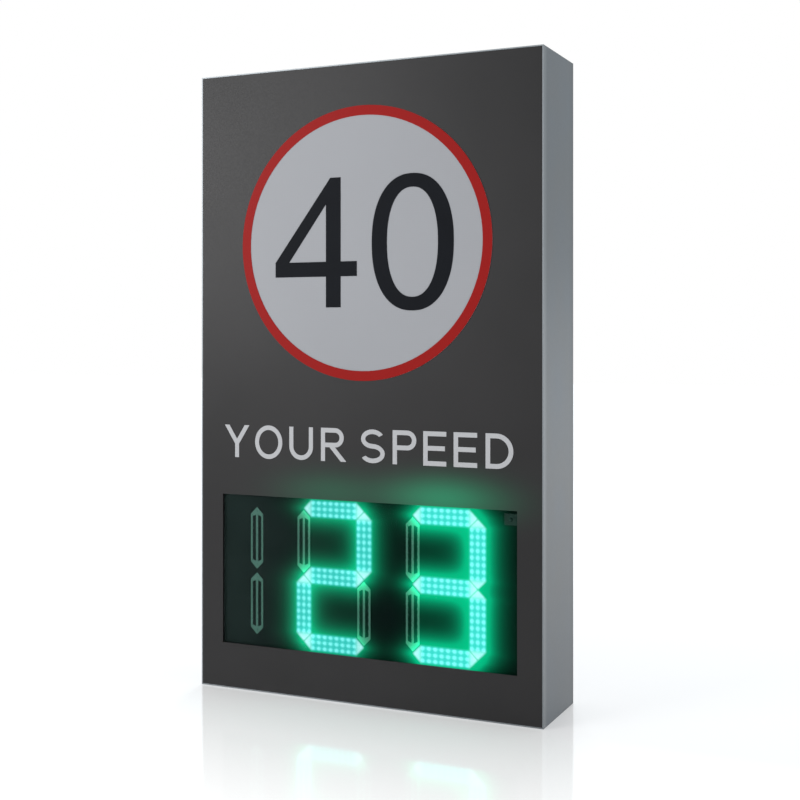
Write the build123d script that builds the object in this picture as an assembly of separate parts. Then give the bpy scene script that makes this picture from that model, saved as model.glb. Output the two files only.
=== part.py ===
from build123d import *
from math import copysign, cos, pi, sin, sqrt
import os

os.makedirs("parts", exist_ok=True)

# Millimetres. +X is right as seen from the front, the front faces -Y and +Z is up.
# Depths are counted backward from the front face of the dark front panel.

# Cabinet
WIDTH = 615.0
HEIGHT = 1050.0
DEPTH = 160.0
WALL = 2.0
LEDGE = 12.0
REAR_FLANGE = 22.0
PANEL = 3.0
REAR_PANEL = 2.0
RAIL_DEPTH = 25.0
FIT = 0.3

# Thin sheets on the front
BASE_FILM = 0.6
TOP_FILM = 0.5

FRONT_Y = BASE_FILM + TOP_FILM - (DEPTH + RAIL_DEPTH + BASE_FILM + TOP_FILM) / 2

# Roundel with two numerals
ROUNDEL_Z = 754.5
ROUNDEL_R = 225.0
RING_INNER_R = 209.0
NUMERAL_Z = 650.0
NUMERAL_HEIGHT = 214.0
NUMERAL_OVERSHOOT = 6.5

# Legend
LEGEND_Z = 396.0
CAP_HEIGHT = 55.0
STROKE = 7.6

# Display window
WINDOW_WIDTH = 530.0
WINDOW_HEIGHT = 255.0
WINDOW_Z = 204.5
PANE_BORDER = 13.0
GASKET = 1.5
PANE = 3.0
RETAINER = 2.0
RETAINER_BORDER = 23.0

# Seven-segment digits
DIGIT_Z = 202.5
HUNDREDS_X = -204.5
TENS_X = -58.5
UNITS_X = 140.0
NODE_PITCH = 111.5
SEGMENT_LENGTH = 105.0
SEGMENT_HALF = 11.8
BAR_EDGE = 3.2
BAR_MIDDLE = 3.8
DOT_PITCH = 11.0
DOT_ROW = 9.9
DOT_R = 2.3
LENS_FRONT = 12.0
LENS_BACK = 14.8
MASK_FRONT = 12.4
MASK_BACK = 16.4
RIB_BACK = 18.0
BOARD_FRONT = 19.0
BOARD = 1.6

# Service door in the rear panel
DOOR_LEFT = -278.0
DOOR_RIGHT = -62.0
DOOR_LOW = 355.0
DOOR_HIGH = 805.0
OPENING_INSET = 10.0
DOOR_SKIN_FRONT = 163.0
DOOR_SKIN_BACK = 165.0
HINGE_X = -283.5
HINGE_DEPTH = 164.6
HINGE_ZS = (430.0, 730.0)
LOCK_X = -84.0
LOCK_ZS = (440.0, 720.0)
STRAP_HALF = 14.0

# Rear rails
RAIL_ZS = (230.0, 930.0)
RAIL_HALF_LENGTH = 240.0
RAIL_SHEET = 2.5
SLOT_X = 60.0
SLOT_LENGTH = 40.0
SLOT_HALF = 5.5
RAIL_BOLT_XS = (-215.0, -110.0, 110.0, 215.0)
RAIL_FOOT_Z = 27.5

# Cable entries
INLET_X = 210.0
INLET_Z = 70.0
GLAND_Z = 130.0
FLAP_PIN_RISE = 18.2
FLAP_PIN_DEPTH = 5.7

# Equipment plate behind the roundel
CHASSIS = 60.0
CHASSIS_XS = (-270.0, -60.0)
CHASSIS_ZS = (368.0, 792.0)
DIN_Z = 545.0
BREAKER_X = -221.0
POLE_OFFSET = 9.0
LEVER_DEPTH = 117.0
BUTTON_X = -112.0
BUTTON_Z = 622.0
CONTROLLER_FACE = 98.0
WIRE_DEPTH = 86.0


def at_depth(depth):
    """Y of a point that is this far behind the front face."""
    return FRONT_Y + depth


def block(x0, x1, d0, d1, z0, z1):
    """Box between two x, two depths and two heights."""
    middle = ((x0 + x1) / 2, at_depth((d0 + d1) / 2), (z0 + z1) / 2)
    return Pos(*middle) * Box(abs(x1 - x0), abs(d1 - d0), abs(z1 - z0))


def rod_y(x, z, r, d0, d1):
    """Round rod that runs front to back."""
    return Pos(x, at_depth((d0 + d1) / 2), z) * Rot(90, 0, 0) * Cylinder(r, d1 - d0)


def rod_x(d, z, r, x0, x1):
    return Pos((x0 + x1) / 2, at_depth(d), z) * Rot(0, 90, 0) * Cylinder(r, x1 - x0)


def rod_z(x, d, r, z0, z1):
    return Pos(x, at_depth(d), (z0 + z1) / 2) * Cylinder(r, z1 - z0)


def hex_y(x, z, across, d0, d1):
    """Hexagon bar that runs front to back; across is its width over the flats."""
    profile = RegularPolygon(across / sqrt(3), 6)
    return Pos(x, at_depth(d1), z) * Rot(90, 0, 0) * extrude(profile, d1 - d0)


def sheet(face, d0, d1):
    """Flat outline drawn as seen from the front, given a thickness from d0 to d1."""
    return Pos(0, at_depth(d1), 0) * Rot(90, 0, 0) * extrude(face, d1 - d0)


def ring_block(half_x, z0, z1, band, d0, d1):
    """Rectangular ring, centred on x = 0, with the same band on every side."""
    outer = block(-half_x, half_x, d0, d1, z0, z1)
    inner = block(-half_x + band, half_x - band, d0 - 1, d1 + 1, z0 + band, z1 - band)
    return outer - inner


def group(solids):
    return Compound(children=list(solids))


# ---- cabinet frame -------------------------------------------------------


def frame_ring():
    """Four folded profiles before they are parted at the corners."""
    half = WIDTH / 2
    skin = ring_block(half, 0, HEIGHT, WALL, 0, DEPTH)
    ledge = ring_block(half, 0, HEIGHT, WALL + LEDGE, PANEL, PANEL + 2)
    flange_front = DEPTH - REAR_PANEL - 2
    flange = ring_block(half, 0, HEIGHT, WALL + REAR_FLANGE, flange_front, flange_front + 2)
    ring = skin + ledge + flange
    for depth in (60, 100):
        ring = ring + ring_block(half, 0, HEIGHT, WALL + 5, depth, depth + 2)
    holes = [rod_y(x, z, 2.6, DEPTH - 8, DEPTH) for x, z in rear_screw_places()]
    return ring - holes


def corner_wedge(points):
    return sheet(make_face(Polyline(*points, close=True)), -1, DEPTH + 1)


def side_profile(ring, side):
    """One side of the frame, mitred at both ends."""
    half = WIDTH / 2
    gap = 0.1
    deep = 60.0
    if side in ("left", "right"):
        s = -1 if side == "left" else 1
        wedge = corner_wedge([
            (s * half, gap),
            (s * half, HEIGHT - gap),
            (s * (half - deep), HEIGHT - deep - gap),
            (s * (half - deep), deep + gap),
        ])
    else:
        low = side == "bottom"
        edge = 0 if low else HEIGHT
        inner = deep if low else HEIGHT - deep
        wedge = corner_wedge([
            (-half + gap, edge),
            (half - gap, edge),
            (half - deep - gap, inner),
            (-half + deep + gap, inner),
        ])
    return ring & wedge


def corner_cleats():
    """Angle pieces with rivets that tie the corners together from inside."""
    pieces = []
    leg = 42.0
    inner_x = WIDTH / 2 - WALL
    for sx in (-1, 1):
        for low in (True, False):
            z_wall = WALL if low else HEIGHT - WALL
            sz = 1 if low else -1
            upright = block(sx * inner_x, sx * (inner_x - 3), 66, 96, z_wall, z_wall + sz * leg)
            flat = block(sx * inner_x, sx * (inner_x - leg), 66, 96, z_wall, z_wall + sz * 3)
            pieces.append(upright + flat)
            for reach in (18, 33):
                x0, x1 = sorted((sx * (inner_x - 3), sx * (inner_x - 5.4)))
                pieces.append(rod_x(81, z_wall + sz * reach, 4, x0, x1))
                z0, z1 = sorted((z_wall + sz * 3, z_wall + sz * 5.4))
                pieces.append(rod_z(sx * (inner_x - reach), 81, 4, z0, z1))
    return group(pieces)


# ---- front ---------------------------------------------------------------


def front_panel():
    half = WIDTH / 2 - WALL - FIT
    plate = block(-half, half, 0, PANEL, WALL + FIT, HEIGHT - WALL - FIT)
    low = WINDOW_Z - WINDOW_HEIGHT / 2
    high = WINDOW_Z + WINDOW_HEIGHT / 2
    return plate - block(-WINDOW_WIDTH / 2, WINDOW_WIDTH / 2, -1, PANEL + 1, low, high)


def roundel_face():
    return rod_y(0, ROUNDEL_Z, ROUNDEL_R, -BASE_FILM, 0)


def roundel_ring():
    outer = rod_y(0, ROUNDEL_Z, ROUNDEL_R, -BASE_FILM - TOP_FILM, -BASE_FILM)
    return outer - rod_y(0, ROUNDEL_Z, RING_INNER_R, -BASE_FILM - 2, 1)


def rounded_oval(half_x, half_z, power):
    """Closed oval whose sides are a little flatter than those of an ellipse."""
    points = []
    count = 32
    for i in range(count):
        angle = 2 * pi * i / count
        c, s = cos(angle), sin(angle)
        x = half_x * copysign(abs(c) ** (2 / power), c)
        z = half_z * copysign(abs(s) ** (2 / power), s)
        points.append((x, z))
    return make_face(Spline(*points, periodic=True))


def numeral_zero():
    height = NUMERAL_HEIGHT + NUMERAL_OVERSHOOT
    outer = rounded_oval(71.5, height / 2, 2.25)
    inner = rounded_oval(44.5, height / 2 - 22, 2.25)
    face = Pos(89, NUMERAL_Z + NUMERAL_HEIGHT / 2 - 3) * (outer - inner)
    return sheet(face, -BASE_FILM - TOP_FILM, -BASE_FILM)


def numeral_four():
    """Upright stem, level bar and a slanted stroke."""
    top = NUMERAL_Z + NUMERAL_HEIGHT
    bar_low = NUMERAL_Z + 51
    bar_high = bar_low + 24.5
    left = -161.0
    right = -9.5
    stem_left = -66.0
    stem_right = -39.0
    outline = [
        (left, bar_low),
        (left, bar_high),
        (stem_left + 8, top),
        (stem_right, top),
        (stem_right, bar_high),
        (right, bar_high),
        (right, bar_low),
        (stem_right, bar_low),
        (stem_right, NUMERAL_Z),
        (stem_left, NUMERAL_Z),
        (stem_left, bar_low),
    ]
    hole = [(left + 26, bar_high), (stem_left, bar_high), (stem_left, top - 43.5)]
    face = make_face(Polyline(*outline, close=True)) - make_face(Polyline(*hole, close=True))
    return sheet(face, -BASE_FILM - TOP_FILM, -BASE_FILM)


def bar(x0, x1, z0, z1):
    return Pos((x0 + x1) / 2, (z0 + z1) / 2) * Rectangle(x1 - x0, z1 - z0)


def stroke_line(start, end):
    """Straight stroke of the legend's line width between two points."""
    dx = end[0] - start[0]
    dz = end[1] - start[1]
    length = sqrt(dx * dx + dz * dz)
    nx = -dz / length * STROKE / 2
    nz = dx / length * STROKE / 2
    corners = [
        (start[0] + nx, start[1] + nz),
        (end[0] + nx, end[1] + nz),
        (end[0] - nx, end[1] - nz),
        (start[0] - nx, start[1] - nz),
    ]
    return make_face(Polyline(*corners, close=True))


def letter_e(width):
    middle = CAP_HEIGHT * 0.51
    face = bar(0, STROKE, 0, CAP_HEIGHT) + bar(0, width, 0, STROKE)
    face = face + bar(0, width, CAP_HEIGHT - STROKE, CAP_HEIGHT)
    return face + bar(0, width * 0.94, middle - STROKE / 2, middle + STROKE / 2)


def half_bowl(width, low, high):
    """Bowl that opens to the left: an outer half oval less an inner one."""
    middle = (low + high) / 2
    half = (high - low) / 2
    straight = width - half
    outer = bar(0, straight, low, high) + Pos(straight, middle) * Circle(half)
    inner = bar(-1, straight, low + STROKE, high - STROKE)
    inner = inner + Pos(straight, middle) * Circle(half - STROKE)
    return outer - inner


def letter_p(width):
    bowl = half_bowl(width, CAP_HEIGHT * 0.42, CAP_HEIGHT)
    return bar(0, STROKE, 0, CAP_HEIGHT) + bowl


def letter_r(width):
    leg_top = (width * 0.42, CAP_HEIGHT * 0.46)
    leg = stroke_line(leg_top, (width - 1.5, -2))
    keep = bar(0, width + STROKE, 0, CAP_HEIGHT)
    return letter_p(width - 3) + (leg & keep)


def letter_d(width):
    """Stem with one wide bowl, drawn from half ovals."""
    straight = width - CAP_HEIGHT * 0.5
    outer_oval = Ellipse(width - straight, CAP_HEIGHT / 2)
    inner_oval = Ellipse(width - straight - STROKE, CAP_HEIGHT / 2 - STROKE)
    outer = bar(0, straight, 0, CAP_HEIGHT) + Pos(straight, CAP_HEIGHT / 2) * outer_oval
    outer = outer & bar(0, width, 0, CAP_HEIGHT)
    inner = bar(STROKE, straight, STROKE, CAP_HEIGHT - STROKE)
    inner = inner + (Pos(straight, CAP_HEIGHT / 2) * inner_oval) & bar(STROKE, width, 0, CAP_HEIGHT)
    return outer - inner


def letter_o(width):
    outer = Ellipse(width / 2, CAP_HEIGHT / 2 + 0.8)
    inner = Ellipse(width / 2 - STROKE, CAP_HEIGHT / 2 + 0.8 - STROKE)
    return Pos(width / 2, CAP_HEIGHT / 2) * (outer - inner)


def letter_u(width):
    half = width / 2
    outer = Pos(half, half) * Circle(half) + bar(0, width, half, CAP_HEIGHT)
    inner = Pos(half, half) * Circle(half - STROKE)
    inner = inner + bar(STROKE, width - STROKE, half, CAP_HEIGHT + 1)
    return outer - inner


def letter_y(width):
    fork = (width / 2, CAP_HEIGHT * 0.44)
    left = stroke_line((2.5, CAP_HEIGHT + 3), fork)
    right = stroke_line((width - 2.5, CAP_HEIGHT + 3), fork)
    stem = bar(width / 2 - STROKE / 2, width / 2 + STROKE / 2, 0, fork[1] + 1)
    joint = Pos(*fork) * Circle(STROKE / 2)
    return (left + right + stem + joint) & bar(-5, width + 5, 0, CAP_HEIGHT)


def arc_stroke(centre, radius_x, radius_z, start, end):
    """Curved stroke along part of an oval, start and end in degrees."""
    outside = []
    inside = []
    steps = 16
    for i in range(steps + 1):
        angle = (start + (end - start) * i / steps) * pi / 180
        x, z = cos(angle), sin(angle)
        outside.append((centre[0] + (radius_x + STROKE / 2) * x, centre[1] + (radius_z + STROKE / 2) * z))
        inside.append((centre[0] + (radius_x - STROKE / 2) * x, centre[1] + (radius_z - STROKE / 2) * z))
    return make_face(Polyline(*outside, *reversed(inside), close=True))


def letter_s(width):
    """Upper bowl that opens right and lower bowl that opens left."""
    radius_z = (CAP_HEIGHT - STROKE) / 4
    radius_x = (width - STROKE) / 2
    upper = (width / 2, CAP_HEIGHT - STROKE / 2 - radius_z)
    lower = (width / 2, STROKE / 2 + radius_z)
    top = arc_stroke(upper, radius_x - 1, radius_z, 28, 273)
    return top + arc_stroke(lower, radius_x, radius_z, -152, 93)


def legend_letters():
    """Nine separate thin letters in a plain block alphabet."""
    places = [
        (letter_y, -260.5, 48.0),
        (letter_o, -201.0, 52.5),
        (letter_u, -135.0, 44.5),
        (letter_r, -75.5, 45.0),
        (letter_s, -3.0, 43.5),
        (letter_p, 54.5, 41.5),
        (letter_e, 108.0, 39.5),
        (letter_e, 160.0, 39.5),
        (letter_d, 213.5, 45.5),
    ]
    pieces = []
    for draw, left, width in places:
        pieces.append(sheet(Pos(left, LEGEND_Z) * draw(width), -TOP_FILM, 0))
    return group(pieces)


# ---- display window ------------------------------------------------------


def window_gasket():
    half = WINDOW_WIDTH / 2 + PANE_BORDER
    low = WINDOW_Z - WINDOW_HEIGHT / 2 - PANE_BORDER
    high = WINDOW_Z + WINDOW_HEIGHT / 2 + PANE_BORDER
    return ring_block(half, low, high, PANE_BORDER - 1, PANEL, PANEL + GASKET)


def window_pane():
    half = WINDOW_WIDTH / 2 + PANE_BORDER
    low = WINDOW_Z - WINDOW_HEIGHT / 2 - PANE_BORDER
    high = WINDOW_Z + WINDOW_HEIGHT / 2 + PANE_BORDER
    return block(-half, half, PANEL + GASKET, PANEL + GASKET + PANE, low, high)


def stud_places():
    """Studs stand just outside the pane, on the back of the front panel."""
    side_x = WINDOW_WIDTH / 2 + PANE_BORDER + 5
    end_z = WINDOW_HEIGHT / 2 + PANE_BORDER + 5
    places = [(sx * side_x, WINDOW_Z + dz) for sx in (-1, 1) for dz in (-105, 0, 105)]
    return places + [(x, WINDOW_Z + sz * end_z) for x in (-180, 0, 180) for sz in (-1, 1)]


def pane_retainer():
    half = WINDOW_WIDTH / 2 + RETAINER_BORDER
    low = WINDOW_Z - WINDOW_HEIGHT / 2 - RETAINER_BORDER
    high = WINDOW_Z + WINDOW_HEIGHT / 2 + RETAINER_BORDER
    front = PANEL + GASKET + PANE
    frame = ring_block(half, low, high, RETAINER_BORDER - 2, front, front + RETAINER)
    return frame - [rod_y(x, z, 2.2, 0, 20) for x, z in stud_places()]


def bar_outline(grow):
    """Pointed bar outline with its two long gaps; grow widens it on every side."""
    half = SEGMENT_HALF + grow
    apex = SEGMENT_LENGTH / 2 + grow * sqrt(2)
    shoulder = apex - half
    top = [(-apex, 0), (-shoulder, half), (shoulder, half)]
    hexagon = top + [(-x, -y) for x, y in top]
    face = make_face(Polyline(*hexagon, close=True))
    near = BAR_MIDDLE / 2 + grow
    far = SEGMENT_HALF - BAR_EDGE - grow
    end = SEGMENT_LENGTH / 2 - SEGMENT_HALF - 4 - grow
    for s in (-1, 1):
        gap = [(-end - 3, s * near), (end + 3, s * near), (end, s * far), (-end, s * far)]
        face = face - make_face(Polyline(*gap, close=True))
    return face


def dot_places():
    """Places of the raised dots on one segment."""
    last = SEGMENT_LENGTH / 2 - SEGMENT_HALF + 4.5
    places = [(-last, 0), (last, 0)]
    for column in range(8):
        u = (column - 3.5) * DOT_PITCH
        for v in (-DOT_ROW, 0, DOT_ROW):
            places.append((u, v))
    return places


def rib_rows():
    side = SEGMENT_HALF - BAR_EDGE / 2
    return (-side, 0, side)


def flat_segment():
    """One milky segment lying along X: bars, dots and the ribs behind them."""
    lens = sheet(bar_outline(0), LENS_FRONT, LENS_BACK)
    ribs = [block(-34, 34, LENS_BACK, RIB_BACK, v - 1.2, v + 1.2) for v in rib_rows()]
    dots = []
    for u, v in dot_places():
        ball = Pos(u, at_depth(LENS_FRONT + 0.9), v) * Sphere(DOT_R)
        dots.append(ball & block(u - 3, u + 3, LENS_FRONT - 3, LENS_FRONT + 0.3, v - 3, v + 3))
    return lens.fuse(*ribs, *dots)


def segment_pocket():
    """Room in the mask for one segment, with slots for its ribs."""
    pocket = sheet(bar_outline(0.15), MASK_FRONT - 1, LENS_BACK + 0.2)
    slots = [block(-34.3, 34.3, LENS_BACK, MASK_BACK + 1, v - 1.45, v + 1.45) for v in rib_rows()]
    return group([pocket] + slots)


def segment_chips():
    chips = []
    for v in rib_rows():
        for u in (-28, -9.3, 9.3, 28):
            chips.append(block(u - 2.5, u + 2.5, RIB_BACK + 0.3, BOARD_FRONT, v - 1.1, v + 1.1))
    return group(chips)


def segment_spots():
    """Name, centre and turn of every segment; the letters follow the usual order.

    The hundreds digit is a plain one, whose two segments always light together.
    """
    half = NODE_PITCH / 2
    spots = [
        ("hundreds", HUNDREDS_X, DIGIT_Z + half, 90),
        ("hundreds", HUNDREDS_X, DIGIT_Z - half, 90),
    ]
    for name, x in (("tens", TENS_X), ("units", UNITS_X)):
        spots += [
            (name + "_a", x, DIGIT_Z + NODE_PITCH, 0),
            (name + "_b", x + half, DIGIT_Z + half, 90),
            (name + "_c", x + half, DIGIT_Z - half, 90),
            (name + "_d", x, DIGIT_Z - NODE_PITCH, 0),
            (name + "_e", x - half, DIGIT_Z - half, 90),
            (name + "_f", x - half, DIGIT_Z + half, 90),
            (name + "_g", x, DIGIT_Z, 0),
        ]
    return spots


def display_mask():
    half = WINDOW_WIDTH / 2 + RETAINER_BORDER
    low = WINDOW_Z - WINDOW_HEIGHT / 2 - RETAINER_BORDER
    high = WINDOW_Z + WINDOW_HEIGHT / 2 + RETAINER_BORDER
    plate = block(-half, half, MASK_FRONT, MASK_BACK, low, high)
    pocket = segment_pocket()
    cuts = [rod_y(x, z, 2.2, 0, 30) for x, z in stud_places()]
    for _, x, z, turn in segment_spots():
        cuts += (Pos(x, 0, z) * Rot(0, turn, 0) * pocket).solids()
    return plate - cuts


def board_centres():
    return ((HUNDREDS_X, 18.0), (TENS_X, 72.0), (UNITS_X, 72.0))


def board_screw_places():
    places = []
    for x, half in board_centres():
        if half < 30:
            places += [(x, DIGIT_Z + 121), (x, DIGIT_Z - 121), (x, DIGIT_Z)]
        else:
            places += [(x + sx * 64, DIGIT_Z + sz * 121) for sx in (-1, 1) for sz in (-1, 1)]
    return places


def led_boards():
    boards = []
    for x, half in board_centres():
        board = block(x - half, x + half, BOARD_FRONT, BOARD_FRONT + BOARD, DIGIT_Z - 128, DIGIT_Z + 128)
        boards.append(board - [rod_y(px, pz, 1.7, 10, 30) for px, pz in board_screw_places()])
    return group(boards)


def board_parts():
    """Light chips on the front, and drivers, plugs and flat jumpers on the back."""
    parts = []
    chips = segment_chips()
    for _, x, z, turn in segment_spots():
        parts += (Pos(x, 0, z) * Rot(0, turn, 0) * chips).solids()
    back = BOARD_FRONT + BOARD
    for x in (TENS_X, UNITS_X):
        for dz in (-60, 0, 60):
            parts.append(block(x - 6, x + 6, back, back + 2, DIGIT_Z + dz - 6, DIGIT_Z + dz + 6))
    parts.append(block(HUNDREDS_X - 5, HUNDREDS_X + 5, back, back + 2, DIGIT_Z - 65, DIGIT_Z - 55))
    for x in (HUNDREDS_X, TENS_X - 58, TENS_X + 58, UNITS_X - 58):
        parts.append(block(x - 8, x + 8, back, back + 5, 282, 296))
    parts.append(block(TENS_X + 5, TENS_X + 25, back, back + 5, 294, 302))
    for x0, x1 in ((HUNDREDS_X - 6, TENS_X - 52), (TENS_X + 52, UNITS_X - 52)):
        parts.append(block(x0, x1, back + 5, back + 5.5, 284, 294))
    return group(parts)


def display_fixings():
    """Studs, sleeves and nuts round the window, and the boards' stand-offs and screws."""
    parts = []
    retainer_back = PANEL + GASKET + PANE + RETAINER
    for x, z in stud_places():
        parts.append(rod_y(x, z, 2, PANEL, 21))
        parts.append(rod_y(x, z, 3.8, retainer_back, MASK_FRONT) - rod_y(x, z, 2.1, 0, 30))
        parts.append(hex_y(x, z, 7, MASK_BACK, MASK_BACK + 3.2) - rod_y(x, z, 2.05, 0, 30))
    back = BOARD_FRONT + BOARD
    for x, z in board_screw_places():
        parts.append(rod_y(x, z, 3, MASK_BACK, BOARD_FRONT) - rod_y(x, z, 1.6, 10, 30))
        parts.append(rod_y(x, z, 1.5, MASK_BACK, back) + rod_y(x, z, 2.8, back, back + 1.8))
    return group(parts)


def light_sensor():
    """Small ambient light sensor on the mask, behind the pane's upper right corner."""
    case = block(241, 262, MASK_FRONT - 3, MASK_FRONT, 308, 326)
    dome = Pos(251.5, at_depth(MASK_FRONT - 1.5), 317) * Sphere(3.5)
    return case + (dome & block(246, 257, MASK_FRONT - 4.6, MASK_FRONT - 1, 312, 322))


def radar_sensor():
    """Flat sensor case between the first two digits, with the brackets that hold it off the mask."""
    x = (HUNDREDS_X + TENS_X - NODE_PITCH / 2) / 2
    case = block(x - 21, x + 21, 19, 31, 168, 237)
    case = fillet(case.edges().filter_by(Axis.Y), 3)
    plug = block(x - 8, x + 8, 31, 37, 172, 180)
    pieces = [case + plug]
    for z0, z1, edge in ((156, 168, 166.5), (237, 249, 237)):
        foot = block(x - 12, x + 12, MASK_BACK, MASK_BACK + 1.5, z0, z1)
        wall = block(x - 12, x + 12, MASK_BACK, 32.5, edge, edge + 1.5)
        pieces.append(foot + wall)
    return group(pieces)


# ---- rear panel, rails and cable entries ---------------------------------


def rear_screw_places():
    zs = (40, 190, 340, 580, 830, 1010)
    places = [(sx * 295.0, z) for sx in (-1, 1) for z in zs]
    places += [(x, z) for x in (-150, 0, 150) for z in (13, HEIGHT - 13)]
    seams = (DOOR_LOW + OPENING_INSET, DOOR_HIGH - OPENING_INSET)
    return places + [(x, z + s * STRAP_HALF / 2) for z in seams for x in (-45, 60, 165, 265) for s in (-1, 1)]


def rail_bolt_places():
    return [(x, z + s * RAIL_FOOT_Z) for z in RAIL_ZS for x in RAIL_BOLT_XS for s in (-1, 1)]


def door_opening(d0, d1, grow=0.0):
    return block(
        DOOR_LEFT + OPENING_INSET - grow,
        DOOR_RIGHT - OPENING_INSET + grow,
        d0,
        d1,
        DOOR_LOW + OPENING_INSET - grow,
        DOOR_HIGH - OPENING_INSET + grow,
    )


def rear_panel():
    """Four flat sheets round the door opening, with two straps behind their long joints."""
    half = WIDTH / 2 - WALL - FIT
    low, high = WALL + FIT, HEIGHT - WALL - FIT
    left, right = DOOR_LEFT + OPENING_INSET, DOOR_RIGHT - OPENING_INSET
    sill, lintel = DOOR_LOW + OPENING_INSET, DOOR_HIGH - OPENING_INSET
    seam = 0.15
    front = DEPTH - REAR_PANEL
    pieces = [
        block(-half, half, front, DEPTH, low, sill - seam),
        block(-half, half, front, DEPTH, lintel + seam, high),
        block(-half, left, front, DEPTH, sill + seam, lintel - seam),
        block(right, half, front, DEPTH, sill + seam, lintel - seam),
    ]
    strap_end = WIDTH / 2 - WALL - REAR_FLANGE - 1
    for z in (sill, lintel):
        pieces.append(block(right + 1, strap_end, front - 2, front, z - STRAP_HALF, z + STRAP_HALF))
    cuts = [rod_y(x, z, 2.8, front - 9, DEPTH + 9) for x, z in rear_screw_places()]
    cuts += [rod_y(x, z, 4.3, front - 9, DEPTH + 9) for x, z in rail_bolt_places()]
    cuts.append(rod_y(INLET_X, INLET_Z, 12.2, front - 9, DEPTH + 9))
    cuts.append(rod_y(INLET_X, GLAND_Z, 10.2, front - 9, DEPTH + 9))
    return group([piece - cuts for piece in pieces])


def rear_screws():
    parts = []
    for x, z in rear_screw_places():
        head = rod_y(x, z, 5, DEPTH, DEPTH + 3) - hex_y(x, z, 3, DEPTH + 1, DEPTH + 4)
        parts.append(head + rod_y(x, z, 2.5, DEPTH - 9, DEPTH))
    return group(parts)


def rail(z):
    """Hat-section rail with two slots for pole clamps."""
    crown_half = 20.0
    foot_half = 35.0
    length = RAIL_HALF_LENGTH
    back = DEPTH + RAIL_DEPTH
    body = block(-length, length, back - RAIL_SHEET, back, z - crown_half, z + crown_half)
    for s in (-1, 1):
        edge = z + s * crown_half
        body = body + block(-length, length, DEPTH, back, edge - s * RAIL_SHEET, edge)
        inner_edge = edge - s * RAIL_SHEET
        body = body + block(-length, length, DEPTH, DEPTH + RAIL_SHEET, inner_edge, z + s * foot_half)
    cuts = [rod_y(x, bz, 4.3, DEPTH - 1, DEPTH + 4) for x, bz in rail_bolt_places()]
    for x in (-SLOT_X, SLOT_X):
        reach = SLOT_LENGTH / 2 - SLOT_HALF
        cuts.append(block(x - reach, x + reach, back - 5, back + 1, z - SLOT_HALF, z + SLOT_HALF))
        cuts += [rod_y(x + s * reach, z, SLOT_HALF, back - 5, back + 1) for s in (-1, 1)]
    return body - cuts


def rail_bolts():
    parts = []
    foot = DEPTH + RAIL_SHEET
    for x, z in rail_bolt_places():
        shank = rod_y(x, z, 4, DEPTH - 12, foot)
        parts.append(shank + hex_y(x, z, 12, foot, foot + 5))
        nut = hex_y(x, z, 13, DEPTH - REAR_PANEL - 6, DEPTH - REAR_PANEL)
        parts.append(nut - rod_y(x, z, 4.05, DEPTH - 20, DEPTH))
    return group(parts)


def cable_gland():
    """Hollow screwed gland with its lock nut, for one round cable."""
    body = rod_y(INLET_X, GLAND_Z, 10, DEPTH - 14, DEPTH)
    body = body + hex_y(INLET_X, GLAND_Z, 24, DEPTH, DEPTH + 6)
    body = body + rod_y(INLET_X, GLAND_Z, 10.5, DEPTH + 6, DEPTH + 9)
    cap = hex_y(INLET_X, GLAND_Z, 22, DEPTH + 9, DEPTH + 17)
    cap = cap + rod_y(INLET_X, GLAND_Z, 9, DEPTH + 17, DEPTH + 21)
    body = (body + cap) - rod_y(INLET_X, GLAND_Z, 5, DEPTH - 20, DEPTH + 30)
    nut = hex_y(INLET_X, GLAND_Z, 25, DEPTH - REAR_PANEL - 6, DEPTH - REAR_PANEL)
    nut = nut - rod_y(INLET_X, GLAND_Z, 10.05, DEPTH - 20, DEPTH)
    return group([body, nut])


def inlet_socket():
    """Round socket for the panel lead, with hinge ears above its mouth."""
    body = rod_y(INLET_X, INLET_Z, 17, DEPTH, DEPTH + 3)
    body = body + rod_y(INLET_X, INLET_Z, 12, DEPTH - 18, DEPTH)
    body = body - rod_y(INLET_X, INLET_Z, 8, DEPTH - 14, DEPTH + 9)
    for s in (-1, 1):
        x0, x1 = sorted((INLET_X + s * 7, INLET_X + s * 11))
        body = body + block(x0, x1, DEPTH, DEPTH + 8.2, INLET_Z + 12.5, INLET_Z + 21)
    for x in (-3, 3):
        body = body + rod_y(INLET_X + x, INLET_Z, 1.2, DEPTH - 14, DEPTH - 4)
    return body + flap_pin(1.2, 9)


def flap_pin(radius, half_length):
    ends = (INLET_X - half_length, INLET_X + half_length)
    return rod_x(DEPTH + FLAP_PIN_DEPTH, INLET_Z + FLAP_PIN_RISE, radius, *ends)


def inlet_flap():
    """Lid over the inlet that hangs on the ears' pin."""
    front, back = DEPTH + 3.5, DEPTH + 6
    lid = rod_y(INLET_X, INLET_Z, 13.8, front, back)
    arm = block(INLET_X - 6.6, INLET_X + 6.6, front, back, INLET_Z, INLET_Z + FLAP_PIN_RISE)
    tab = block(INLET_X - 5, INLET_X + 5, front, back + 2.5, INLET_Z - 13.6, INLET_Z - 11)
    return lid + arm + tab + flap_pin(2.2, 6.6) - flap_pin(1.25, 8)


# ---- service door --------------------------------------------------------


def service_door():
    """Pan with a short turned-in rim and holes for two locks."""
    pan = block(DOOR_LEFT, DOOR_RIGHT, DEPTH + 0.5, DOOR_SKIN_BACK, DOOR_LOW, DOOR_HIGH)
    hollow = block(DOOR_LEFT + 2, DOOR_RIGHT - 2, DEPTH, DOOR_SKIN_FRONT, DOOR_LOW + 2, DOOR_HIGH - 2)
    holes = [rod_y(LOCK_X, z, 9.08, DEPTH - 5, DEPTH + 9) for z in LOCK_ZS]
    return pan - hollow - holes


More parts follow.
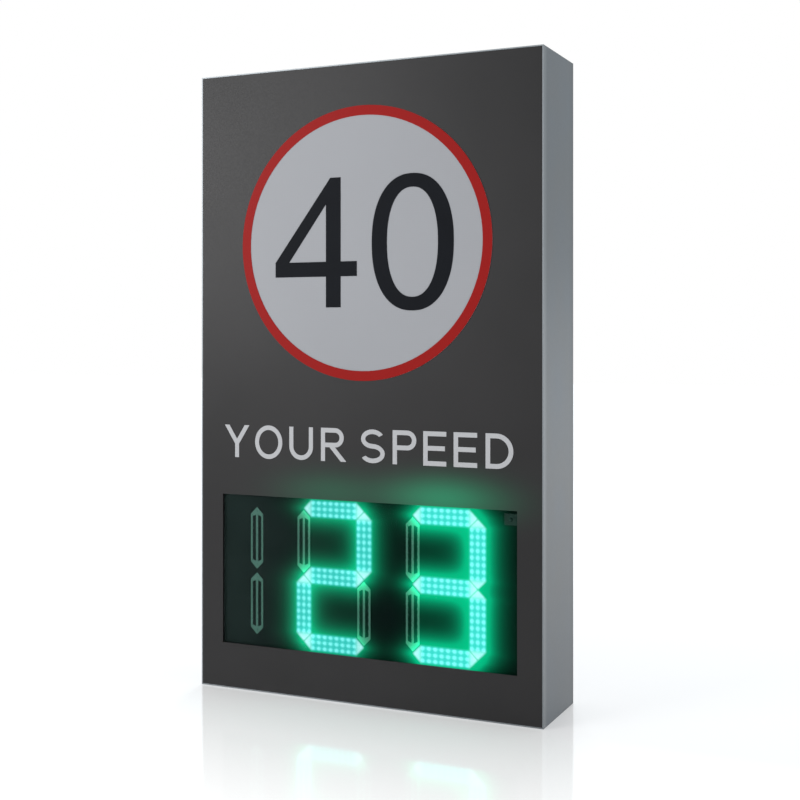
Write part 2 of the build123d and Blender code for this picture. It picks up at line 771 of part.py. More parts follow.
def door_seal():
    outer = door_opening(DEPTH + FIT, DOOR_SKIN_FRONT, 7.8)
    return outer - door_opening(DEPTH - 1, DEPTH + 9, 2.0)


def hinge_frame_leaves():
    """Two fixed leaves, each with end knuckles and the pin."""
    leaves = []
    for z in HINGE_ZS:
        leaf = block(HINGE_X - 19.5, HINGE_X, DEPTH, DEPTH + 1.6, z - 30, z + 30)
        for z0, z1 in ((z - 30, z - 12), (z + 12, z + 30)):
            leaf = leaf + rod_z(HINGE_X, HINGE_DEPTH, 4, z0, z1)
        inner = block(HINGE_X - 5, HINGE_X + 1, DEPTH, DEPTH + 9, z - 12, z + 12)
        leaf = leaf - inner + rod_z(HINGE_X, HINGE_DEPTH, 2.5, z - 32, z + 32)
        holes = [rod_y(HINGE_X - 13, z + s * 20, 2.2, DEPTH - 1, DEPTH + 3) for s in (-1, 1)]
        leaves.append(leaf - holes)
        for s in (-1, 1):
            leaves.append(rod_y(HINGE_X - 13, z + s * 20, 3.4, DEPTH + 1.6, DEPTH + 3.2))
    return group(leaves)


def hinge_door_leaves():
    """Two moving leaves, each with one middle knuckle on the pin."""
    leaves = []
    for z in HINGE_ZS:
        front, back = DOOR_SKIN_BACK, DOOR_SKIN_BACK + 1.6
        leaf = block(HINGE_X + 5, HINGE_X + 24, front, back, z - 30, z + 30)
        leaf = leaf + block(HINGE_X, HINGE_X + 6, front, back, z - 11.7, z + 11.7)
        leaf = leaf + rod_z(HINGE_X, HINGE_DEPTH, 4, z - 11.7, z + 11.7)
        leaf = leaf - rod_z(HINGE_X, HINGE_DEPTH, 2.56, z - 15, z + 15)
        leaves.append(leaf)
        for s in (-1, 1):
            leaves.append(rod_y(HINGE_X + 16, z + s * 20, 3.4, back, back + 1.6))
    return group(leaves)


def quarter_turn_lock(z):
    """Round head with a driver recess, a barrel through the door and a cam behind it."""
    seat = DOOR_SKIN_BACK + 0.05
    head = rod_y(LOCK_X, z, 11, seat, seat + 4)
    recess = rod_y(LOCK_X, z, 6, seat + 1, seat + 5)
    driver = block(LOCK_X - 1.5, LOCK_X + 1.5, seat, seat + 3.5, z - 6.5, z + 6.5)
    lock = (head - recess) + driver + rod_y(LOCK_X, z, 9, DEPTH - 8, seat)
    cam = block(LOCK_X - 7, LOCK_X + 7, DEPTH - 8, DEPTH - 5, z - 7, z + 22)
    return lock + cam


# ---- equipment inside ----------------------------------------------------


def chassis_plate():
    """Flat equipment plate on four posts from the front panel."""
    plate = block(*CHASSIS_XS, CHASSIS - 2, CHASSIS, *CHASSIS_ZS)
    posts = []
    for x in (CHASSIS_XS[0] + 15, CHASSIS_XS[1] - 15):
        for z in (CHASSIS_ZS[0] + 14, CHASSIS_ZS[1] - 10):
            posts.append(rod_y(x, z, 6, PANEL, CHASSIS - 2))
    return group([plate] + posts)


def pole_xs():
    """Both poles of the breaker stand over the battery's tabs and under the controller's inputs."""
    return (BREAKER_X - POLE_OFFSET, BREAKER_X + POLE_OFFSET)


def battery():
    """Sealed block battery with two tab terminals."""
    case = block(-241, -90, CHASSIS + 1, CHASSIS + 66, 385, 478)
    case = fillet(case.edges().filter_by(Axis.Z), 2.5)
    lid = block(-239, -92, CHASSIS + 3, CHASSIS + 64, 478, 481)
    tabs = [block(x - 3.5, x + 3.5, CHASSIS + 25, CHASSIS + 26, 481, 488) for x in pole_xs()]
    return case + lid + tabs


def battery_tray():
    """Angle shelf with an upturned lip, and the strap over the battery."""
    shelf = block(-246, -85, CHASSIS, CHASSIS + 72, 382, 384.8)
    shelf = shelf + block(-246, -85, CHASSIS + 70, CHASSIS + 72, 382, 398)
    strap = block(-150, -125, CHASSIS, CHASSIS + 68.2, 481.4, 482.8)
    strap = strap + block(-150, -125, CHASSIS + 66.6, CHASSIS + 68.2, 390, 482.8)
    buckle = block(-154, -121, CHASSIS + 68.4, CHASSIS + 71, 448, 468)
    return group([shelf, strap, buckle])


def charge_controller():
    """Finned case with a small screen frame, lamps and a push-button hole."""
    case = block(-240, -90, CHASSIS, CONTROLLER_FACE, 600, 700)
    case = fillet(case.edges().filter_by(Axis.Y), 4)
    for z in (688, 692, 696):
        case = case - block(-230, -100, CONTROLLER_FACE - 8, CONTROLLER_FACE + 1, z, z + 2)
    case = case - block(-225, -165, CONTROLLER_FACE - 1.5, CONTROLLER_FACE + 1, 640, 676)
    case = case - rod_y(BUTTON_X, BUTTON_Z, 5.2, CONTROLLER_FACE - 10, CONTROLLER_FACE + 1)
    case = case - [rod_z(pole_xs()[0] + 18 * i, WIRE_DEPTH, 3, 590, 610) for i in range(7)]
    for x in (-150, -140, -130):
        case = case + rod_y(x, 664, 1.8, CONTROLLER_FACE - 1, CONTROLLER_FACE + 1)
    return case


def controller_button():
    button = rod_y(BUTTON_X, BUTTON_Z, 5, CONTROLLER_FACE - 7, CONTROLLER_FACE + 3)
    return fillet(button.edges().group_by(Axis.Y)[-1], 0.8)


def control_board_case():
    """Shallow box for the display electronics, with a lid joint, screws and a plug row."""
    case = block(-240, -100, CHASSIS, CHASSIS + 30, 718, 782)
    case = case - ring_block_at(-240, -100, CHASSIS + 22, CHASSIS + 22.8, 718, 782, 1.0)
    screws = [rod_y(x, z, 3, CHASSIS + 30, CHASSIS + 31.5) for x in (-233, -107) for z in (725, 775)]
    plug = block(-225, -165, CHASSIS + 8, CHASSIS + 18, 712, 718)
    return case + screws + plug


def ring_block_at(x0, x1, d0, d1, z0, z1, band):
    """Thin ring used for grooves round a case."""
    outer = block(x0, x1, d0, d1, z0, z1)
    return outer - block(x0 + band, x1 - band, d0 - 1, d1 + 1, z0 + band, z1 - band)


def din_rail():
    """Thirty-five millimetre top-hat rail on the equipment plate."""
    body = block(-256, -68, CHASSIS, CHASSIS + 1, DIN_Z - 12.5, DIN_Z + 12.5)
    for s in (-1, 1):
        edge = DIN_Z + s * 12.5
        body = body + block(-256, -68, CHASSIS, CHASSIS + 7.5, edge - s, edge)
        body = body + block(-256, -68, CHASSIS + 6.5, CHASSIS + 7.5, edge - s, DIN_Z + s * 17.5)
    return body


def breaker_body():
    """Two-pole breaker clipped on the rail, with a slot for its lever."""
    front = CHASSIS + 7.8
    body = block(BREAKER_X - 18, BREAKER_X + 18, front, 110, DIN_Z - 40, DIN_Z + 40)
    body = body + block(BREAKER_X - 18, BREAKER_X + 18, 110, 125, DIN_Z - 22, DIN_Z + 22)
    for s in (-1, 1):
        lug = DIN_Z + s * 17.8
        body = body + block(BREAKER_X - 18, BREAKER_X + 18, CHASSIS + 3.5, front, lug, lug + s * 5)
    body = body - rod_x(LEVER_DEPTH, DIN_Z, 7.3, BREAKER_X - 13, BREAKER_X + 13)
    body = body - block(BREAKER_X - 13, BREAKER_X + 13, LEVER_DEPTH, 126, DIN_Z - 12, DIN_Z + 12)
    for x in pole_xs():
        for s in (-1, 1):
            body = body - rod_y(x, DIN_Z + s * 31, 3, 102, 111)
    return body


def breaker_lever():
    """Drum with a flat toggle that stands up from it, in the upper position."""
    drum = rod_x(LEVER_DEPTH, DIN_Z, 7, BREAKER_X - 12.5, BREAKER_X + 12.5)
    toggle = Box(25, 16, 4.5)
    toggle = Pos(BREAKER_X, at_depth(LEVER_DEPTH), DIN_Z) * Rot(22, 0, 0) * Pos(0, 12, 0) * toggle
    return drum + toggle


def terminal_block():
    """Row of screw terminals on the rail."""
    front = CHASSIS + 7.8
    body = block(-195, -78, front, 100, DIN_Z - 23, DIN_Z + 23)
    body = body + block(-195, -78, 100, 106, DIN_Z - 12, DIN_Z + 12)
    for s in (-1, 1):
        lug = DIN_Z + s * 17.8
        body = body + block(-195, -78, CHASSIS + 3.5, front, lug, lug + s * 4)
    cuts = []
    for i in range(9):
        x = -188.5 + 13 * i
        cuts += [rod_y(x, DIN_Z + s * 17.5, 2.6, 94, 101) for s in (-1, 1)]
        cuts.append(block(x + 6.1, x + 6.9, 104.5, 107, DIN_Z - 12, DIN_Z + 12))
    return body - cuts


def wire(points, radius, bend):
    """Round wire along straight runs with rounded corners, points as x, depth, z."""
    path = FilletPolyline(*[(x, at_depth(d), z) for x, d, z in points], radius=bend)
    start = path @ 0
    profile = Plane(origin=start, z_dir=path % 0) * Circle(radius)
    return sweep(profile, path=path)


def wiring():
    """Wires between the inner parts; each one is clipped to a panel or spans a short gap."""
    wires = []
    for x in pole_xs():
        wires.append(rod_z(x, WIRE_DEPTH, 2.2, 488.2, DIN_Z - 40.2))
        wires.append(rod_z(x, WIRE_DEPTH, 2.2, DIN_Z + 40.2, 609))
    for x in (pole_xs()[0] + 18 * i for i in (5, 6)):
        wires.append(rod_z(x, WIRE_DEPTH, 1.8, DIN_Z + 23.2, 609))
    wires.append(rod_z(-180, CHASSIS + 13, 2.4, 700.2, 711.8))
    harness = [(-90, 85, DIN_Z - 23.2), (-90, 85, 490), (-45, 85, 490), (-45, 10, 490)]
    harness += [(-45, 10, 380), (-45, 42, 380), (-45, 42, 298), (-45, 25.8, 298)]
    wires.append(wire(harness, 2.0, 14))
    lead = [(INLET_X, 141.8, INLET_Z), (INLET_X, 120, INLET_Z), (150, 120, INLET_Z), (150, 152, INLET_Z)]
    lead += [(-30, 152, INLET_Z), (-30, 152, DIN_Z), (-30, 85, DIN_Z), (-77.8, 85, DIN_Z)]
    wires.append(wire(lead, 2.5, 15))
    clips = []
    for z in (420, 455):
        clips.append(block(-50, -40, PANEL, 13, z - 4, z + 4) - rod_z(-45, 10, 2.1, z - 5, z + 5))
    for z in (160, 300, 440):
        clips.append(block(-36, -24, 148, 158, z - 4, z + 4) - rod_z(-30, 152, 2.6, z - 5, z + 5))
    for x in (20, 100):
        clip = block(x - 4, x + 4, 148, 158, INLET_Z - 6, INLET_Z + 6)
        clips.append(clip - rod_x(152, INLET_Z, 2.6, x - 5, x + 5))
    return group(wires + clips)


# ---- every node ----------------------------------------------------------


def every_node():
    ring = frame_ring()
    nodes = {"frame_" + side: side_profile(ring, side) for side in ("left", "right", "top", "bottom")}
    nodes["corner_cleats"] = corner_cleats()
    nodes["front_panel"] = front_panel()
    nodes["roundel_face"] = roundel_face()
    nodes["roundel_ring"] = roundel_ring()
    nodes["numeral_four"] = numeral_four()
    nodes["numeral_zero"] = numeral_zero()
    nodes["legend_letters"] = legend_letters()
    nodes["window_gasket"] = window_gasket()
    nodes["window_pane"] = window_pane()
    nodes["pane_retainer"] = pane_retainer()
    nodes["display_mask"] = display_mask()
    segment = flat_segment()
    for name, x, z, turn in segment_spots():
        placed = Pos(x, 0, z) * Rot(0, turn, 0) * segment
        node = "segment_" + name
        nodes[node] = group([nodes[node], placed]) if node in nodes else placed
    nodes["led_boards"] = led_boards()
    nodes["board_parts"] = board_parts()
    nodes["display_fixings"] = display_fixings()
    nodes["light_sensor"] = light_sensor()
    nodes["radar_sensor"] = radar_sensor()
    nodes["rear_panel"] = rear_panel()
    nodes["rear_screws"] = rear_screws()
    nodes["rail_lower"] = rail(RAIL_ZS[0])
    nodes["rail_upper"] = rail(RAIL_ZS[1])
    nodes["rail_bolts"] = rail_bolts()
    nodes["cable_gland"] = cable_gland()
    nodes["inlet_socket"] = inlet_socket()
    nodes["inlet_flap"] = inlet_flap()
    nodes["service_door"] = service_door()
    nodes["door_seal"] = door_seal()
    nodes["hinge_frame_leaves"] = hinge_frame_leaves()
    nodes["hinge_door_leaves"] = hinge_door_leaves()
    nodes["lock_lower"] = quarter_turn_lock(LOCK_ZS[0])
    nodes["lock_upper"] = quarter_turn_lock(LOCK_ZS[1])
    nodes["chassis_plate"] = chassis_plate()
    nodes["battery"] = battery()
    nodes["battery_tray"] = battery_tray()
    nodes["charge_controller"] = charge_controller()
    nodes["controller_button"] = controller_button()
    nodes["control_board_case"] = control_board_case()
    nodes["din_rail"] = din_rail()
    nodes["breaker_body"] = breaker_body()
    nodes["breaker_lever"] = breaker_lever()
    nodes["terminal_block"] = terminal_block()
    nodes["wiring"] = wiring()
    return nodes


for node_name, node_shape in every_node().items():
    export_step(node_shape, f"parts/{node_name}.step")
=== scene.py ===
from math import cos, radians, sin

import bpy
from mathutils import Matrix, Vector


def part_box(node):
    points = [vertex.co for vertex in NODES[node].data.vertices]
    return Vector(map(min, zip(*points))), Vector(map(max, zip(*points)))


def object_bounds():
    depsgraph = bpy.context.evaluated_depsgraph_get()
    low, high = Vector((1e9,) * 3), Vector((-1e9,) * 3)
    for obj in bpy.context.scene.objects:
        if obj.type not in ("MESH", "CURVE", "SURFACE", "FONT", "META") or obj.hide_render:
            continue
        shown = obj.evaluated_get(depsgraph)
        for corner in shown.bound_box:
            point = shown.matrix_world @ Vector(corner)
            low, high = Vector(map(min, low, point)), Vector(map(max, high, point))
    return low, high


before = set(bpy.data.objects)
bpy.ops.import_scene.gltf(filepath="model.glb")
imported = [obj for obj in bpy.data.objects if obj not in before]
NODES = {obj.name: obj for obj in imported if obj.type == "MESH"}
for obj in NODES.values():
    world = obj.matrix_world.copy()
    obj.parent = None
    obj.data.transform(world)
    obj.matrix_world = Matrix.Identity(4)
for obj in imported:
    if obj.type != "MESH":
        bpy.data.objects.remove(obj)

CAD_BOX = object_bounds()

# Camera: place in metres, heading in degrees to the left of straight back, lens in millimetres.
CAMERA_PLACE = (0.923, -2.039, 0.6035)
CAMERA_HEADING = 25.46
CAMERA_LENS = 59.4
CAMERA_SHIFT = (0.05, -0.0805)

# Display
LIT_SEGMENTS = {"tens": "abdeg", "units": "abcdg"}
DOT_PITCH = 0.011
DOT_ROW = 0.0099
DIGIT_GLOW = {"tens": 0.72, "units": 1.42}
GLOW_COLOUR = (0.0, 1.0, 0.44, 1)
GAP_COLOUR = (0.075, 1.0, 0.92, 1)
DOT_COLOUR = (0.23, 1.0, 1.0, 1)
TIP_COLOUR = (0.55, 1.0, 1.0, 1)
GLOW_REACH = 0.0115
GLOW_START = 0.003
GLOW_STRENGTH = 0.85
PANE_GLOW = GLOW_STRENGTH * 0.15
UNLIT_GLOW = GLOW_STRENGTH * 2.2
BLOOM = {"tens": 0.06, "units": 0.19}
BLOOM_SIZE = (0.088, 0.031)
LIT_STRENGTH = 1.3
POINT_SLOPE = 0.92
CORE_EDGE = 0.004
DOT_EDGE = (0.0016, 0.0052)
TIP_LENGTH = (0.014, 0.007)
TIP_WHITENESS = 0.75
# Width of the pane's painted reflection, which is lighter toward the pane's left end
PAINTED_REFLECTION_WIDTH = 0.39

# Depth behind a front face where light added to it starts to fade, and where it is gone
FRONT_SKIN = (0.0006, 0.0016)

# Floor: its own light FLOOR_RISE in front of the sign, and at the sign
FLOOR_LIGHT = (0.68, 0.34)
FLOOR_RISE = 0.5
FLOOR_HALF = 14.0
FLOOR_GAP = 0.0004


# ---- node helpers --------------------------------------------------------


class Graph:
    """A short way to add shader nodes and join them. An input takes a number, a colour or a socket."""

    def __init__(self, tree):
        self.tree = tree

    def add(self, kind, **inputs):
        node = self.tree.nodes.new(kind)
        for name, value in inputs.items():
            self.set(node, name, value)
        return node

    def set(self, node, name, value):
        self.feed(node.inputs[name.replace("_", " ")], value)

    def feed(self, socket, value):
        if isinstance(value, bpy.types.NodeSocket):
            self.tree.links.new(value, socket)
        else:
            socket.default_value = value

    def math(self, operation, a, b=0.5):
        node = self.tree.nodes.new("ShaderNodeMath")
        node.operation = operation
        self.feed(node.inputs[0], a)
        self.feed(node.inputs[1], b)
        return node.outputs[0]

    def place(self, scale=(1, 1, 1)):
        """Object coordinates, stretched by scale."""
        coords = self.tree.nodes.new("ShaderNodeTexCoord").outputs["Object"]
        if scale == (1, 1, 1):
            return coords
        mapping = self.tree.nodes.new("ShaderNodeMapping")
        mapping.inputs["Scale"].default_value = scale
        self.tree.links.new(coords, mapping.inputs["Vector"])
        return mapping.outputs["Vector"]

    def parts(self, vector):
        """The three numbers of a vector or colour, as sockets X, Y and Z."""
        node = self.tree.nodes.new("ShaderNodeSeparateXYZ")
        self.tree.links.new(vector, node.inputs[0])
        return node.outputs

    def across(self):
        """Place along the sign's width and height."""
        place = self.parts(self.place())
        return place["X"], place["Z"]

    def front_only(self, node_name):
        """1 on the front face of a CAD node and 0 behind it."""
        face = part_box(node_name)[0].y
        return self.ramp(self.parts(self.place())["Y"], 1, 0, face + FRONT_SKIN[0], face + FRONT_SKIN[1])

    def noise(self, size, scale=(1, 1, 1), detail=3.0, roughness=0.55):
        """Noise whose blotches are about size metres across."""
        node = self.add("ShaderNodeTexNoise", Scale=1 / size, Detail=detail, Roughness=roughness)
        self.tree.links.new(self.place(scale), node.inputs["Vector"])
        return node.outputs["Fac"]

    def ramp(self, value, low, high, start=0.0, end=1.0):
        """value from start..end becomes low..high, clamped."""
        node = self.add("ShaderNodeMapRange")
        self.tree.links.new(value, node.inputs["Value"])
        for name, number in (("From Min", start), ("From Max", end), ("To Min", low), ("To Max", high)):
            node.inputs[name].default_value = number
        return node.outputs["Result"]

    def mix(self, factor, a, b):
        node = self.tree.nodes.new("ShaderNodeMix")
        node.data_type = "RGBA"
        self.feed(node.inputs["Factor"], factor)
        self.feed(node.inputs[6], a)
        self.feed(node.inputs[7], b)
        return node.outputs[2]

    def bump(self, height, depth, strength):
        node = self.add("ShaderNodeBump", Strength=strength, Distance=depth)
        self.tree.links.new(height, node.inputs["Height"])
        return node.outputs["Normal"]


def material(name, **values):
    """New Principled material; returns it with its graph and shader."""
    made = bpy.data.materials.new(name)
    made.use_nodes = True
    graph = Graph(made.node_tree)
    shader = made.node_tree.nodes["Principled BSDF"]
    for key, value in values.items():
        graph.set(shader, key, value)
    return made, graph, shader


def colour(r, g, b):
    return (r, g, b, 1)


def shade(rgb, factor):
    return (rgb[0] * factor, rgb[1] * factor, rgb[2] * factor, 1)


# ---- materials -----------------------------------------------------------


def metal(name, base, grain, rough, depth=0.00002):
    """Satin sheet metal: fine and coarse grain along one way, handling marks and settled dust."""
    made, g, shader = material(name, Metallic=1.0)
    fine = g.noise(0.0014, grain, detail=4)
    coarse = g.noise(0.009, grain, detail=3)
    marks = g.noise(0.1, detail=5, roughness=0.65)
    tone = g.mix(g.ramp(fine, 0, 1, 0.25, 0.75), shade(base, 0.88), shade(base, 1.08))
    tone = g.mix(g.ramp(coarse, 0, 0.5, 0.35, 0.65), tone, shade(base, 0.8))
    tone = g.mix(g.ramp(marks, 0, 0.22, 0.45, 0.75), tone, shade(base, 0.72))
    g.set(shader, "Base Color", tone)
    worn = g.math("ADD", g.ramp(fine, rough[0], rough[1], 0.3, 0.7), g.ramp(marks, 0, 0.04, 0.4, 0.75))
    g.set(shader, "Roughness", worn)
    g.set(shader, "Normal", g.bump(g.math("ADD", fine, coarse), depth, 0.6))
    return made


def galvanised(name, base, flake=0.011):
    """Hot-dipped zinc: flakes that each catch the light differently, with a dull bloom over them."""
    made, g, shader = material(name, Metallic=1.0)
    cells = g.add("ShaderNodeTexVoronoi", Scale=1 / flake, Randomness=1.0)
    g.tree.links.new(g.place(), cells.inputs["Vector"])
    chance = g.parts(cells.outputs["Color"])
    dull = g.noise(0.05, detail=4)
    tone = g.mix(chance["X"], shade(base, 0.78), shade(base, 1.2))
    tone = g.mix(g.ramp(dull, 0, 0.5, 0.4, 0.7), tone, shade(base, 0.85))
    g.set(shader, "Base Color", tone)
    g.set(shader, "Roughness", g.ramp(chance["Y"], 0.28, 0.5))
    g.set(shader, "Normal", g.bump(dull, 0.0002, 0.3))
    return made


def stainless(name, base):
    """Bright turned or rolled steel with faint tool marks and a little grime."""
    made, g, shader = material(name, Metallic=1.0)
    turned = g.noise(0.0011, (1, 1, 3), detail=3)
    grime = g.noise(0.008, detail=4)
    tone = g.mix(g.ramp(turned, 0, 1, 0.3, 0.7), shade(base, 0.85), shade(base, 1.1))
    g.set(shader, "Base Color", g.mix(g.ramp(grime, 0, 0.5, 0.5, 0.75), tone, shade(base, 0.45)))
    g.set(shader, "Roughness", g.ramp(grime, 0.16, 0.34, 0.35, 0.7))
    g.set(shader, "Normal", g.bump(turned, 0.00002, 0.4))
    return made


def side_profile(name, base, grain):
    """Satin aluminium profile, with a painted highlight along its front edge and painted shade toward its
    back.
    """
    made, g, shader = material(name, Metallic=1.0)
    lines = g.noise(0.0016, grain, detail=4)
    cloud = g.noise(0.11, (1, 1, 0.6), detail=3)
    depth = g.parts(g.place())["Y"]
    front, back = CAD_BOX[0].y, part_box("frame_left")[1].y
    # painted highlight: the base colour is made much lighter along the front edge
    edge = g.ramp(depth, 1, 0, front + 0.008, front + 0.019)
    # painted shade: the base colour darkens toward the back edge
    painted_rear_shade = g.ramp(depth, 0, 0.5, back - 0.022, back - 0.006)
    tone = g.mix(g.ramp(lines, 0, 1, 0.25, 0.75), shade(base, 0.94), shade(base, 1.05))
    bluer = (base[0] * 0.92, base[1] * 1.02, base[2] * 1.14, 1)
    tone = g.mix(g.ramp(cloud, 0, 0.6, 0.35, 0.7), tone, bluer)
    tone = g.mix(edge, tone, shade(base, 1.45))
    tone = g.mix(painted_rear_shade, tone, shade(base, 0.7))
    g.set(shader, "Base Color", tone)
    g.set(shader, "Roughness", g.ramp(lines, 0.36, 0.48, 0.3, 0.7))
    g.set(shader, "Normal", g.bump(lines, 0.00002, 0.5))
    return made


def plastic(name, base, rough=0.5, grain=0.0009, depth=0.00003, specular=0.4, vary=0.1):
    """Moulded plastic or rubber with a fine pebble grain."""
    made, g, shader = material(name, Specular_IOR_Level=specular)
    fine = g.noise(grain, detail=2)
    cloud = g.noise(0.05, detail=3)
    tone = g.mix(g.ramp(cloud, 0, 1, 0.3, 0.7), shade(base, 1 - vary), shade(base, 1 + vary))
    g.set(shader, "Base Color", tone)
    g.set(shader, "Roughness", g.ramp(fine, rough - 0.06, rough + 0.06, 0.3, 0.7))
    g.set(shader, "Normal", g.bump(fine, depth, 0.6))
    return made


def lit_segments():
    """Middle and half size of each lit segment, from its CAD box, and how widely its digit glows."""
    found = []
    for digit, letters in LIT_SEGMENTS.items():
        for letter in letters:
            low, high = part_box("segment_%s_%s" % (digit, letter))
            found.append(((low + high) / 2, (high - low) / 2, DIGIT_GLOW[digit]))
    return found


def glow_group():
    """Light round and on the lit segments, as a function of place.

    Glow falls off outside them, Core is 1 on them, Dot is 1 on their dots and Tip on their ends.
    """
    tree = bpy.data.node_groups.new("segment_glow", "ShaderNodeTree")
    names = ("Glow", "Core", "Dot", "Tip")
    for name in names:
        tree.interface.new_socket(name, in_out="OUTPUT", socket_type="NodeSocketFloat")
    g = Graph(tree)
    x, z = g.across()
    total = dict.fromkeys(names, 0.0)
    for middle, half, weight in lit_segments():
        from_x = g.math("SUBTRACT", x, middle.x)
        from_z = g.math("SUBTRACT", z, middle.z)
        along, across = (from_x, from_z) if half.x > half.z else (from_z, from_x)
        long_half, thin = max(half.x, half.z), min(half.x, half.z)
        far_along = g.math("ABSOLUTE", along)
        far_across = g.math("ABSOLUTE", across)
        past = g.math("MAXIMUM", g.math("SUBTRACT", far_along, long_half - thin), 0)
        round_end = g.math("SQRT", g.math("ADD", g.math("POWER", past, 2), g.math("POWER", far_across, 2)))
        point = g.math("ADD", past, far_across)
        pointed = g.math("MULTIPLY", point, POINT_SLOPE)
        outside = g.math("SUBTRACT", g.math("MAXIMUM", round_end, pointed), thin)
        clear = g.math("MAXIMUM", g.math("SUBTRACT", outside, GLOW_START), 0)
        glow = g.math("MULTIPLY", g.math("EXPONENT", g.math("DIVIDE", clear, -GLOW_REACH)), weight)
        core = g.ramp(outside, 1, 0, 0, CORE_EDGE)
        cell = g.math("SUBTRACT", g.math("PINGPONG", along, DOT_PITCH), DOT_PITCH / 2)
        nearest = g.math("MULTIPLY", g.math("ROUND", g.math("DIVIDE", far_across, DOT_ROW)), DOT_ROW)
        row = g.math("SUBTRACT", far_across, nearest)
        off = g.math("SQRT", g.math("ADD", g.math("POWER", cell, 2), g.math("POWER", row, 2)))
        dot = g.math("MULTIPLY", g.ramp(off, 1, 0, *DOT_EDGE), core)
        end = (long_half - TIP_LENGTH[0], long_half - TIP_LENGTH[1])
        tip = g.math("MULTIPLY", g.ramp(far_along, 0, TIP_WHITENESS, *end), core)
        total["Glow"] = g.math("ADD", glow, total["Glow"])
        for name, value in (("Core", core), ("Dot", dot), ("Tip", tip)):
            total[name] = g.math("MAXIMUM", value, total[name])
    out = g.add("NodeGroupOutput")
    for name in names:
        tree.links.new(total[name], out.inputs[name])
    return tree


def add_glow(g, shader, glow_tree, strength, lit=0.0):
    """Adds the segments' glow to the front of a display part as emission.

    Where lit is more than 0, the segments' own light is added too.
    """
    group = g.tree.nodes.new("ShaderNodeGroup")
    group.node_tree = glow_tree
    front = g.front_only("display_mask")
    spread = g.math("MULTIPLY", g.math("MULTIPLY", group.outputs["Glow"], front), strength)
    if not lit:
        g.set(shader, "Emission Color", GLOW_COLOUR)
        g.set(shader, "Emission Strength", spread)
        return
    tone = g.mix(group.outputs["Core"], GLOW_COLOUR, GAP_COLOUR)
    tone = g.mix(group.outputs["Dot"], tone, DOT_COLOUR)
    tone = g.mix(group.outputs["Tip"], tone, TIP_COLOUR)
    bright = g.math("MULTIPLY", g.math("MAXIMUM", group.outputs["Dot"], group.outputs["Tip"]), 0.5 * lit)
    power = g.math("ADD", g.math("MULTIPLY", group.outputs["Core"], lit - strength), bright)
    g.set(shader, "Emission Color", tone)
    power = g.math("MULTIPLY", power, front)
    g.set(shader, "Emission Strength", g.math("ADD", g.math("MINIMUM", spread, strength), power))


def front_coating():
    """Charcoal powder coat with fine orange peel, and a painted glow of the display's light above the
    window.
    """
    made, g, shader = material("front_coating", Specular_IOR_Level=0.21, Emission_Color=GLOW_COLOUR)
    peel = g.noise(0.0022, detail=2)
    cloud = g.noise(0.22, detail=2)
    darkest, lightest = colour(0.0125, 0.0116, 0.012), colour(0.0175, 0.0162, 0.0168)
    tone = g.mix(g.ramp(cloud, 0, 1, 0.3, 0.7), darkest, lightest)
    g.set(shader, "Base Color", tone)
    g.set(shader, "Roughness", g.ramp(peel, 0.33, 0.43, 0.3, 0.7))
    g.set(shader, "Normal", g.bump(peel, 0.00006, 0.5))
    x, z = g.across()
    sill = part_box("window_gasket")[1].z
    # painted glow: the display's bloom above the window is drawn as emission on the front panel
    bloom = 0.0
    for digit, strength in BLOOM.items():
        low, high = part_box("segment_%s_a" % digit)
        away = g.math("SUBTRACT", x, (low.x + high.x) / 2)
        side = g.math("POWER", g.math("DIVIDE", away, BLOOM_SIZE[0]), 2)
        rise = g.math("POWER", g.math("DIVIDE", g.math("SUBTRACT", z, sill), BLOOM_SIZE[1]), 2)
        spot = g.math("EXPONENT", g.math("MULTIPLY", g.math("ADD", side, rise), -1))
        bloom = g.math("ADD", g.math("MULTIPLY", spot, strength), bloom)
    g.set(shader, "Emission Strength", g.math("MULTIPLY", bloom, g.front_only("front_panel")))
    return made


def sheeting(name, base, rough=0.4, specular=0.25):
    """Retroreflective sheet: a honeycomb of sealed cells under a clear top."""
    made, g, shader = material(name, Specular_IOR_Level=specular)
    cells = g.add("ShaderNodeTexVoronoi", Scale=1 / 0.0034, Randomness=0.12)
    cells.feature = "DISTANCE_TO_EDGE"
    g.tree.links.new(g.place((1, 0, 0.92)), cells.inputs["Vector"])
    edge = g.ramp(cells.outputs["Distance"], 0, 1, 0.02, 0.09)
    cloud = g.noise(0.2, detail=2)
    tone = g.mix(edge, shade(base, 0.955), shade(base, 1.0))
    tone = g.mix(g.ramp(cloud, 0, 0.5, 0.3, 0.7), tone, shade(base, 1.05))
    g.set(shader, "Base Color", tone)
    g.set(shader, "Roughness", g.ramp(edge, rough + 0.1, rough))
    g.set(shader, "Normal", g.bump(edge, 0.00002, 0.3))
    return made


def smoked_pane(glow_tree):
    """Thin dark see-through pane, lighter toward its left end with a painted reflection mottled by dust,
    with a haze of the segments' light.
    """
    # It has no mirror reflection, because a weak one is drawn as speckle over the dark mask.
    made, g, shader = material("smoked_pane", Specular_IOR_Level=0.0, Alpha=0.3)
    dust = g.noise(0.05, detail=5, roughness=0.7)
    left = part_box("window_pane")[0].x
    # painted reflection: the base colour is lighter toward the pane's left end, mottled by dust noise
    dust_and_reflection = g.math("POWER", g.ramp(g.parts(g.place())["X"], 1, 0, left, left + PAINTED_REFLECTION_WIDTH), 1.5)
    dust_and_reflection = g.math("MULTIPLY", dust_and_reflection, g.ramp(dust, 0.8, 1.15, 0.35, 0.75))
    g.set(shader, "Base Color", g.mix(dust_and_reflection, colour(0.0025, 0.006, 0.0055), colour(0.034, 0.053, 0.049)))
    g.set(shader, "Roughness", g.ramp(dust, 0.05, 0.12, 0.3, 0.8))
    add_glow(g, shader, glow_tree, PANE_GLOW)
    return made


